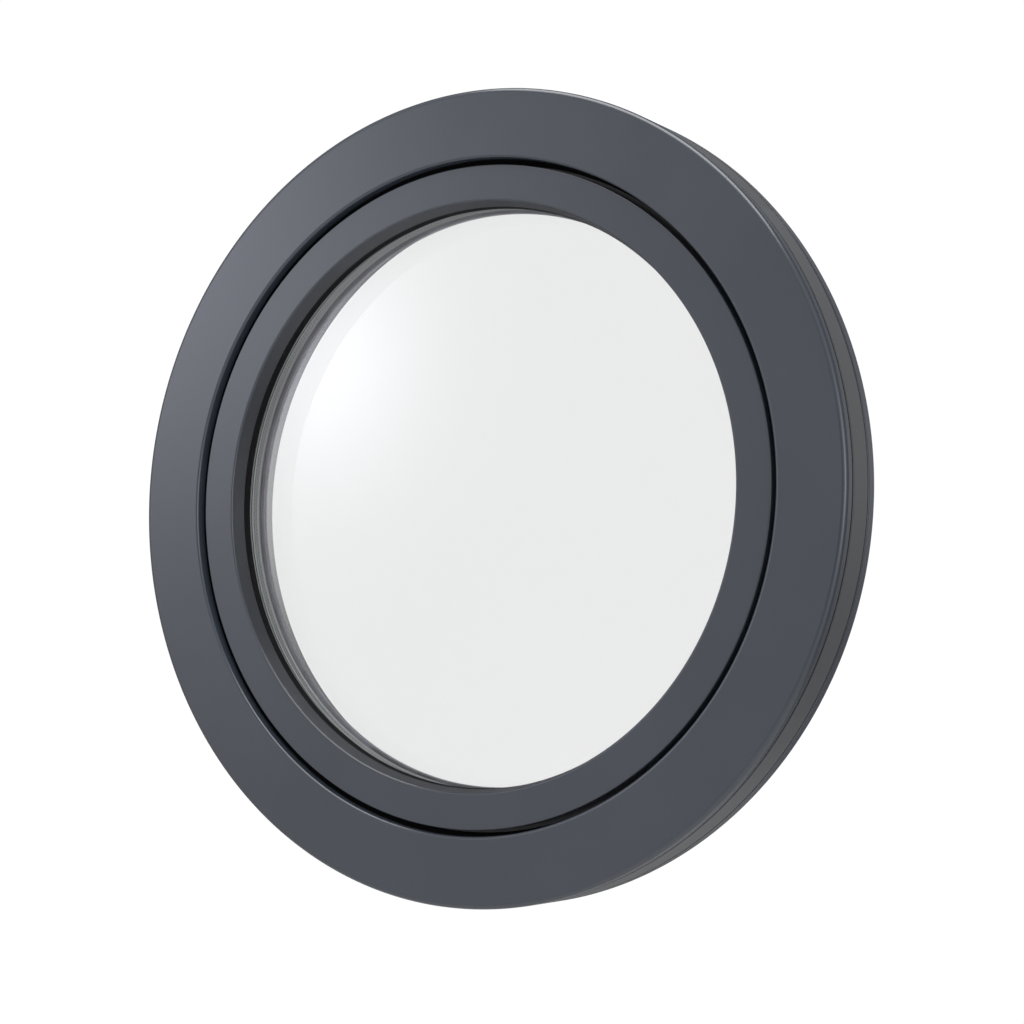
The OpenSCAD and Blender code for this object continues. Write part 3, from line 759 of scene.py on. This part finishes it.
class WINDOW_OT_glazing(bpy.types.Operator):
    """Sealed unit: two panes, the slotted spacer bar and its line of butyl"""
    bl_idname = "window.glazing"
    bl_label = "Glazing"

    def execute(self, context):
        sides = context.scene.window_sizes.ring_sides
        edge, angle = 0.5 * MM, round_angles(sides)
        for name in ("outdoor_pane", "indoor_pane"):
            _, radius, y0, y1 = span(name)
            outline = radius * np.stack([np.cos(angle), np.sin(angle)], 1)
            add_piece(name + "_glass", [slab(outline, y0, y1, edge)], clear_glass(),
                      "sash", [name])
        r0, r1, y0, y1 = span("spacer_bar")
        rib, groove = 0.5 * MM, 0.45 * MM
        inner = [[0.0, 0.35], [2.6, 0.0], [3.2, 1.0], [4.0, 1.0], [4.6, 0.0]]
        step = [[r0 + groove * g, y0 + d * MM, 0.15 * MM] for d, g in inner]
        back = [[r0 + groove * g, y1 - d * MM, 0.15 * MM] for d, g in inner[::-1]]
        ring_piece("spacer_ring", "spacer_bar",
                   step + back + [[r1, y1, rib], [r1, y0, rib]],
                   spacer_metal(), "sash")
        return {"FINISHED"}


def hinge_frame_leaf(level, middle, half, material):
    """Plate on the frame with two outer knuckles, which are square below the pin."""
    axis_x, axis_y, _ = joint_place("sash_hinge")
    low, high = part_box(level + "_frame_leaf")

    def bracket(angle):
        down = np.maximum(-np.sin(angle), 1e-6)
        side = np.maximum(np.abs(np.cos(angle)), 1e-6)
        square = np.minimum(BARREL_R / side, (axis_y - LEAF_T + 0.5 * MM) / down)
        return np.where(np.sin(angle) < 0, square, BARREL_R)

    plate = box_outline(low[0], high[0], low[2], high[2], PLATE_CORNER)
    shells = [slab(plate, 0.0, LEAF_T, bpy.context.scene.window_sizes.plate_edge)]
    for z0, z1 in ((middle - half, middle - KNUCKLE - PLAY),
                   (middle + KNUCKLE + PLAY, middle + half)):
        shells.append(sleeve(bracket, PIN_R, axis_x, axis_y, z0, z1, RIM))
    add_piece(level + "_hinge_frame_leaf", shells, material, "frame",
              [level + "_frame_leaf"])


def hinge_sash_leaf(level, middle, material):
    """Plate on the sash, the arm that narrows towards the pin, and the middle knuckle."""
    edge = bpy.context.scene.window_sizes.plate_edge
    axis_x, axis_y, _ = joint_place("sash_hinge")
    low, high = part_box(level + "_sash_leaf")
    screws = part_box("sash_leaf_screws")
    out_x = screws[0][0] + screws[1][0] - high[0]
    rear = span("sash_indoor_shell")[3]
    arm = rounded([[out_x + 2 * MM, middle - KNUCKLE - 4 * MM, MM],
                   [out_x + 2 * MM, middle + KNUCKLE + 4 * MM, MM],
                   [out_x - 3 * MM, middle + KNUCKLE, 3 * MM],
                   [axis_x, middle + KNUCKLE, MM],
                   [axis_x, middle - KNUCKLE, MM],
                   [out_x - 3 * MM, middle - KNUCKLE, 3 * MM]])
    shells = [slab(box_outline(out_x, high[0], low[2], high[2], PLATE_CORNER),
                   rear, rear + LEAF_T, edge),
              slab(arm, rear + 0.5 * MM, rear + 6 * MM, edge),
              sleeve(lambda a: np.full(len(a), BARREL_R), PIN_R + 0.05 * MM, axis_x, axis_y,
                     middle - KNUCKLE, middle + KNUCKLE, RIM)]
    add_piece(level + "_hinge_sash_leaf", shells, material, "sash",
              [level + "_sash_leaf"])


def hinge_pin(level, middle, half, material):
    """Pin with a chamfered foot and a domed head: the dome is a quarter circle."""
    axis_x, axis_y, _ = joint_place("sash_hinge")
    low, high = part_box(level + "_hinge_pin")
    head_r, dome = (high[0] - low[0]) / 2, 1.6 * MM
    a = np.linspace(0, math.pi / 2, 7)
    profile = np.concatenate([
        [[PIN_R - 0.6 * MM, low[2]], [PIN_R, low[2] + 0.6 * MM],
         [PIN_R, middle + half], [head_r, middle + half]],
        np.stack([head_r - dome * (1 - np.cos(a)), high[2] - dome + dome * np.sin(a)], 1)])
    add_piece(level + "_hinge_pin_turned", [turned(profile, axis_x, axis_y, 56, axis="Z")],
              material, "frame", [level + "_hinge_pin"])


class WINDOW_OT_hinges(bpy.types.Operator):
    """Two hinges: frame leaf with outer knuckles, sash leaf with middle knuckle, pin"""
    bl_idname = "window.hinges"
    bl_label = "Hinges"

    def execute(self, context):
        coat, steel = coated_metal(), brushed_steel()
        for level in ("upper", "lower"):
            low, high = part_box(level + "_frame_leaf")
            middle = (low[2] + high[2]) / 2
            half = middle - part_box(level + "_hinge_pin")[0][2]
            hinge_frame_leaf(level, middle, half, coat)
            hinge_sash_leaf(level, middle, coat)
            hinge_pin(level, middle, half, steel)
        return {"FINISHED"}


def screw_shell(x, z, seat, top, tail, head_r=HEAD_R, drive=0.34):
    """Pan-head screw along Y with a six-lobed drive sunk into its domed head.

    Rings above the drive follow a circle; rings in it follow r (1 + 0.16 cos 6a).
    """
    a = round_angles(60)
    lobe = head_r * drive * (1 + 0.16 * np.cos(6 * a))
    ones = np.ones_like(a)
    height = top - seat
    rows = [(0.45 * head_r * ones, tail), (0.5 * head_r * ones, tail + 0.4 * MM),
            (0.5 * head_r * ones, seat), (0.96 * head_r * ones, seat),
            (head_r * ones, seat + 0.12 * height), (head_r * ones, seat + 0.45 * height)]
    for b in np.linspace(0.15, 1, 6) * math.pi / 2:
        rows.append((head_r * (1 - 0.42 * (1 - np.cos(b))) * ones,
                     seat + height * (0.45 + 0.55 * np.sin(b))))
    rows += [(lobe * 1.06, top), (lobe, top - 0.08 * height), (lobe * 0.97, top - 0.6 * height),
             (lobe * 0.3, top - 0.68 * height)]
    rings = np.array([np.stack([x + r * np.cos(a), np.full_like(a, y), z + r * np.sin(a)], -1)
                      for r, y in rows])
    return skin(rings)


class WINDOW_OT_screws(bpy.types.Operator):
    """Screws of the hinge leaves, the keeper and the handle's base"""
    bl_idname = "window.screws"
    bl_label = "Screws"

    def execute(self, context):
        low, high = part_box("upper_frame_leaf")
        hinge_z = (low[2] + high[2]) / 2
        for name, body, pair in (("frame_leaf_screws", "frame", True),
                                 ("sash_leaf_screws", "sash", True),
                                 ("keeper_screws", "frame", False),
                                 ("handle_base_screws", "sash", False)):
            low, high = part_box(name)
            x, far = (low[0] + high[0]) / 2, high[2] - HEAD_R
            places = (far, 2 * hinge_z - far) if pair else (far,)
            seat, top, tail = high[1] - HEAD_H, high[1] - 0.02 * MM, low[1] + 0.5 * MM
            shells = [screw_shell(x, side * z, seat, top, tail)
                      for side in (-1, 1) for z in places]
            add_piece(name.replace("screws", "screw_set"), shells, brushed_steel(), body,
                      [name])
        return {"FINISHED"}


class WINDOW_OT_handle(bpy.types.Operator):
    """Handle: base with rounded rim, neck and crowned grip, and the latch tongue"""
    bl_idname = "window.handle"
    bl_label = "Handle"

    def execute(self, context):
        coat, steel = coated_metal(), brushed_steel()
        low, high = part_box("handle_base")
        x, half_w = (low[0] + high[0]) / 2, (high[0] - low[0]) / 2
        end = high[2] - half_w
        base = add_piece("handle_base_plate",
                         [slab(slot_outline(x, -end, end, half_w), low[1], high[1], 2.2 * MM)],
                         coat, "sash", ["handle_base"])
        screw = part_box("handle_base_screws")[1]
        screw_z, seat, above = screw[2] - HEAD_R, screw[1] - HEAD_H, high[1] + MM
        neck_hole_r = 10.15 * MM
        bore(base, [(x, -screw_z, HEAD_R + 0.2 * MM, seat, above),
                    (x, screw_z, HEAD_R + 0.2 * MM, seat, above),
                    (x, 0.0, neck_hole_r, low[1] + 2 * MM, above)])
        self.add_lever(x, coat)
        self.add_tongue(x, steel)
        return {"FINISHED"}

    def add_lever(self, x, material):
        """Neck turned about the spindle, and a grip of superellipse sections whose ends are
        half round and whose waist narrows by a squared sine."""
        low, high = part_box("handle_lever")
        neck_r, tip_r, waist = 10 * MM, 9 * MM, 1.6 * MM
        tip_z = low[2] + tip_r
        grip_low = high[1] - 11 * MM
        turn = np.linspace(0.02, 1, 14) * math.pi / 2
        run = np.linspace(0, 1, 26)[1:-1]
        z = np.concatenate([neck_r * np.cos(turn), tip_z * run,
                            tip_z - tip_r * np.sin((math.pi / 2 - turn)[::-1])])
        w = np.concatenate([neck_r * np.sin(turn),
                            neck_r + (tip_r - neck_r) * run - waist * np.sin(math.pi * run) ** 2,
                            tip_r * np.cos((math.pi / 2 - turn)[::-1])])
        thick = 5.5 * MM * np.minimum(1, (w / (7 * MM)) ** 0.5)
        around, power = round_angles(48), 2 / 3.2
        sx, sy = (np.sign(side) * np.abs(side) ** power
                  for side in (np.cos(around), np.sin(around)))
        grip = np.stack([x + w[:, None] * sx, (grip_low + high[1]) / 2 + thick[:, None] * sy,
                         np.broadcast_to(z[:, None], (len(z), len(around)))], -1)
        neck = [[9.6 * MM, low[1]], [10 * MM, low[1] + 0.4 * MM], [10 * MM, low[1] + 10.5 * MM],
                [9.3 * MM, low[1] + 13 * MM], [9.3 * MM, low[1] + 20 * MM],
                [9.8 * MM, grip_low + MM], [9.0 * MM, high[1] - 2 * MM]]
        add_piece("handle_grip", [skin(grip), turned(neck, x, 0.0)], material, "handle",
                  ["handle_lever"])

    def add_tongue(self, x, material):
        """Round-ended bar on a chamfered hub."""
        low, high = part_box("latch_tongue")
        half_w, hub_r, chamfer = 6 * MM, 15 * MM, 0.6 * MM
        bar = slot_outline(x, 0.0, high[2] - half_w, half_w)
        hub = turned([[hub_r - chamfer, low[1]], [hub_r, low[1] + chamfer],
                      [hub_r, high[1] - chamfer], [hub_r - chamfer, high[1]]], x, 0.0)
        add_piece("latch_tongue_plate", [slab(bar, low[1], high[1], 0.8 * MM), hub],
                  material, "handle", ["latch_tongue"])


class WINDOW_OT_keeper(bpy.types.Operator):
    """Keeper: a plate on the frame with a hook that the tongue turns under"""
    bl_idname = "window.keeper"
    bl_label = "Keeper"

    def execute(self, context):
        edge = context.scene.window_sizes.plate_edge
        low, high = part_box("latch_keeper")
        half_w = 12 * MM
        points = node_points("latch_keeper")
        hook = points[points[:, 1] > 20 * MM]
        hook_x, under = hook[:, 0].min(), hook[hook[:, 0] < low[0] + 8 * MM][:, 1].min()
        post_x0, post_x1 = hook_x + 14 * MM, hook[:, 0].max()
        section = rounded([[post_x0, LEAF_T - MM, 0.3 * MM], [post_x1, LEAF_T - MM, 0.3 * MM],
                           [post_x1, high[1], 3.5 * MM], [hook_x, high[1], 1.6 * MM],
                           [hook_x, under, 1.2 * MM], [post_x0, under, 1.5 * MM]])
        add_piece("latch_keeper_bracket", [
            slab(box_outline(low[0], high[0], low[2], high[2], PLATE_CORNER), 0.0, LEAF_T, edge),
            slab(section, -half_w, half_w, edge, "Z")],
            coated_metal(), "frame", ["latch_keeper"])
        return {"FINISHED"}


class WINDOW_OT_inserts(bpy.types.Operator):
    """Threaded sleeves in the frame's indoor face, with a chamfered mouth"""
    bl_idname = "window.inserts"
    bl_label = "Threaded inserts"

    def execute(self, context):
        circle_r, outer_r, angles = fixing_circle()
        hole_r = mount("wall_fixing")["dims"]["hole_r_mm"] * MM
        low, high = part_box("fixing_inserts")
        turns, chamfer, mouth, groove = 10, 0.2 * MM, 0.7 * MM, 0.45 * MM
        pitch = (high[1] - low[1] - 1.2 * MM) / turns
        step = np.arange(2 * turns + 1)
        thread = np.stack([hole_r + groove * (step % 2), high[1] - 0.8 * MM - step * pitch / 2], 1)
        section = np.concatenate([
            [[outer_r - chamfer, low[1]], [outer_r, low[1] + chamfer],
             [outer_r, high[1] - chamfer], [outer_r - chamfer, high[1]],
             [hole_r + mouth, high[1]]], thread, [[hole_r, low[1]]]])
        shells = [turned(section, circle_r * math.cos(a), circle_r * math.sin(a), 40, closed=True)
                  for a in angles]
        add_piece("threaded_inserts", shells, brushed_steel(), "frame",
                  ["fixing_inserts"])
        return {"FINISHED"}


class WINDOW_OT_inner_parts(bpy.types.Operator):
    """Finishes for the solids inside the sash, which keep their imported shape"""
    bl_idname = "window.inner_parts"
    bl_label = "Inner parts"

    def execute(self, context):
        for node, material in (("edge_seal", seal_rubber()), ("setting_blocks", block_plastic()),
                               ("handle_spindle", brushed_steel()),
                               ("spindle_collar", brushed_steel())):
            mesh = frame["nodes"][node].data
            mesh.materials.clear()
            mesh.materials.append(material)
        return {"FINISHED"}


class WINDOW_OT_stage(bpy.types.Operator):
    """Camera, pale floor and soft studio light"""
    bl_idname = "window.stage"
    bl_label = "Stage"

    def execute(self, context):
        stage = context.scene.window_stage
        self.add_floor(context, stage)
        self.add_camera(context, stage)
        self.add_world(context)
        self.add_lights(context)
        context.scene.view_settings.view_transform = "Standard"
        return {"FINISHED"}

    def add_floor(self, context, stage):
        """A wide disc below the window."""
        angle = round_angles(96)
        level = CAD_BOX[0][2] - stage.floor_drop
        disc = stage.floor_radius * np.stack([np.cos(angle), np.sin(angle)], 1)
        mesh = bpy.data.meshes.new("studio_floor")
        mesh.from_pydata(placed(disc, level, "Z").tolist(), [], [list(range(len(disc)))])
        floor = bpy.data.objects.new("studio_floor", mesh)
        context.scene.collection.objects.link(floor)

        def build(s):
            tone = s.noise(s.place()[0], 0.6, 2.0)
            return s.node("ShaderNodeBsdfPrincipled", inputs={
                "Base Color": s.mix(tone, (0.9, 0.9, 0.9, 1), (0.92, 0.92, 0.92, 1)),
                "Roughness": 0.9})
        mesh.materials.append(new_material("pale_floor", build))

    def add_camera(self, context, stage):
        """Camera on a sphere about the outdoor face's middle, then panned and tilted."""
        az, el = stage.azimuth, stage.elevation
        back = np.array([math.sin(az) * math.cos(el), -math.cos(az) * math.cos(el), math.sin(el)])
        right = np.cross(-back, [0, 0, 1])
        right /= np.linalg.norm(right)
        up = np.cross(right, -back)
        ahead = -back
        cp, sp = math.cos(stage.pan), math.sin(stage.pan)
        ct, st = math.cos(stage.tilt), math.sin(stage.tilt)
        cam_right = cp * right + sp * ahead
        cam_ahead = -sp * ct * right - st * up + cp * ct * ahead
        cam_up = np.cross(cam_right, cam_ahead)
        middle = np.array([0.0, CAD_BOX[0][1], 0.0])
        place = middle + back * stage.distance
        matrix = Matrix.Identity(4)
        for k, column in enumerate((cam_right, cam_up, -cam_ahead, place)):
            for row in range(3):
                matrix[row][k] = column[row]
        data = bpy.data.cameras.new("camera")
        data.lens, data.sensor_width, data.sensor_fit = stage.lens, 36.0, "HORIZONTAL"
        data.clip_start, data.clip_end = 0.05, 200.0
        camera = bpy.data.objects.new("camera", data)
        context.scene.collection.objects.link(camera)
        camera.matrix_world = matrix
        context.scene.camera = camera

    def add_world(self, context):
        """White light tent, lighter in front, with soft patches of light.

        A ray straight from the camera sees an even white backdrop instead.
        """
        world = bpy.data.worlds.new("light_tent")
        world.use_nodes = True
        context.scene.world = world
        s = Sheet(world.node_tree)
        way, backdrop = s.node("ShaderNodeTexCoord", output="Generated"), 1.02

        def along(az, el):
            a, e = math.radians(az), math.radians(el)
            direction = (math.sin(a) * math.cos(e), -math.cos(a) * math.cos(e), math.sin(e))
            return s.node("ShaderNodeVectorMath", {"operation": "DOT_PRODUCT"},
                          {0: way, 1: direction}, "Value")

        def patch(az, el, width):
            """Round patch that falls off as a bell curve over width degrees."""
            soft = 1 - math.cos(math.radians(width))
            return ((along(az, el) - 1.0) / soft).call("EXPONENT")

        ahead = s.ramp(along(0, 0), -0.35, 0.35)
        light = 0.16 + ahead * 0.36
        for az, el, width, gain in ((2, 3, 15, -0.44), (58, 5, 13, 2.2), (157, 6, 13, 0.25),
                                    (187, 5, 12, 1.4)):
            light = light + patch(az, el, width) * gain
        sheen = patch(-43, 12, 6)
        light = light + sheen * 3.0
        path = s.node("ShaderNodeLightPath").socket.node.outputs
        bounces = Value(s, path["Diffuse Depth"]) + Value(s, path["Glossy Depth"])
        lit = bounces.call("GREATER_THAN", 0.5)
        s.node("ShaderNodeOutputWorld", inputs={"Surface": s.node(
            "ShaderNodeBackground", inputs={
                "Color": s.mix(sheen * lit, (1, 1, 1, 1), (0.92, 0.96, 1.12, 1)),
                "Strength": light * lit + (1.0 - lit) * backdrop})})

    def add_lights(self, context):
        """Overhead soft box that draws the light lines along the upper edges."""
        data = bpy.data.lights.new("overhead_box", "AREA")
        data.energy, data.shape, data.size, data.size_y = 60.0, "RECTANGLE", 3.0, 2.0
        light = bpy.data.objects.new("overhead_box", data)
        light.location = (0.3, -0.6, 2.6)
        light.rotation_euler = (math.radians(10), 0, 0)
        context.scene.collection.objects.link(light)


class WINDOW_PT_panel(bpy.types.Panel):
    """Sidebar panel that lists the window's operators and settings"""
    bl_label = "Round Window"
    bl_idname = "WINDOW_PT_panel"
    bl_space_type = "VIEW_3D"
    bl_region_type = "UI"
    bl_category = "Round Window"

    def draw(self, context):
        column = self.layout.column()
        for operator in OPERATORS:
            column.operator(operator.bl_idname)
        for group in ("window_sizes", "window_finish", "window_stage"):
            settings = getattr(context.scene, group)
            for name in settings.__annotations__:
                column.prop(settings, name)


OPERATORS = (
    WINDOW_OT_frame_rings, WINDOW_OT_sash_rings, WINDOW_OT_seals, WINDOW_OT_glazing,
    WINDOW_OT_hinges, WINDOW_OT_screws, WINDOW_OT_handle, WINDOW_OT_keeper,
    WINDOW_OT_inserts, WINDOW_OT_inner_parts, WINDOW_OT_stage)
GROUPS = {"window_sizes": WindowSizes, "window_finish": WindowFinish,
          "window_stage": WindowStage}


def register():
    for cls in (*GROUPS.values(), *OPERATORS, WINDOW_PT_panel):
        bpy.utils.register_class(cls)
    for name, cls in GROUPS.items():
        setattr(bpy.types.Scene, name, bpy.props.PointerProperty(type=cls))


def unregister():
    for name in GROUPS:
        delattr(bpy.types.Scene, name)
    for cls in reversed((*GROUPS.values(), *OPERATORS, WINDOW_PT_panel)):
        bpy.utils.unregister_class(cls)


def main():
    """Registers the classes and builds every piece in order."""
    register()
    for operator in OPERATORS:
        group, name = operator.bl_idname.split(".")
        getattr(getattr(bpy.ops, group), name)()


if __name__ == "__main__":
    main()
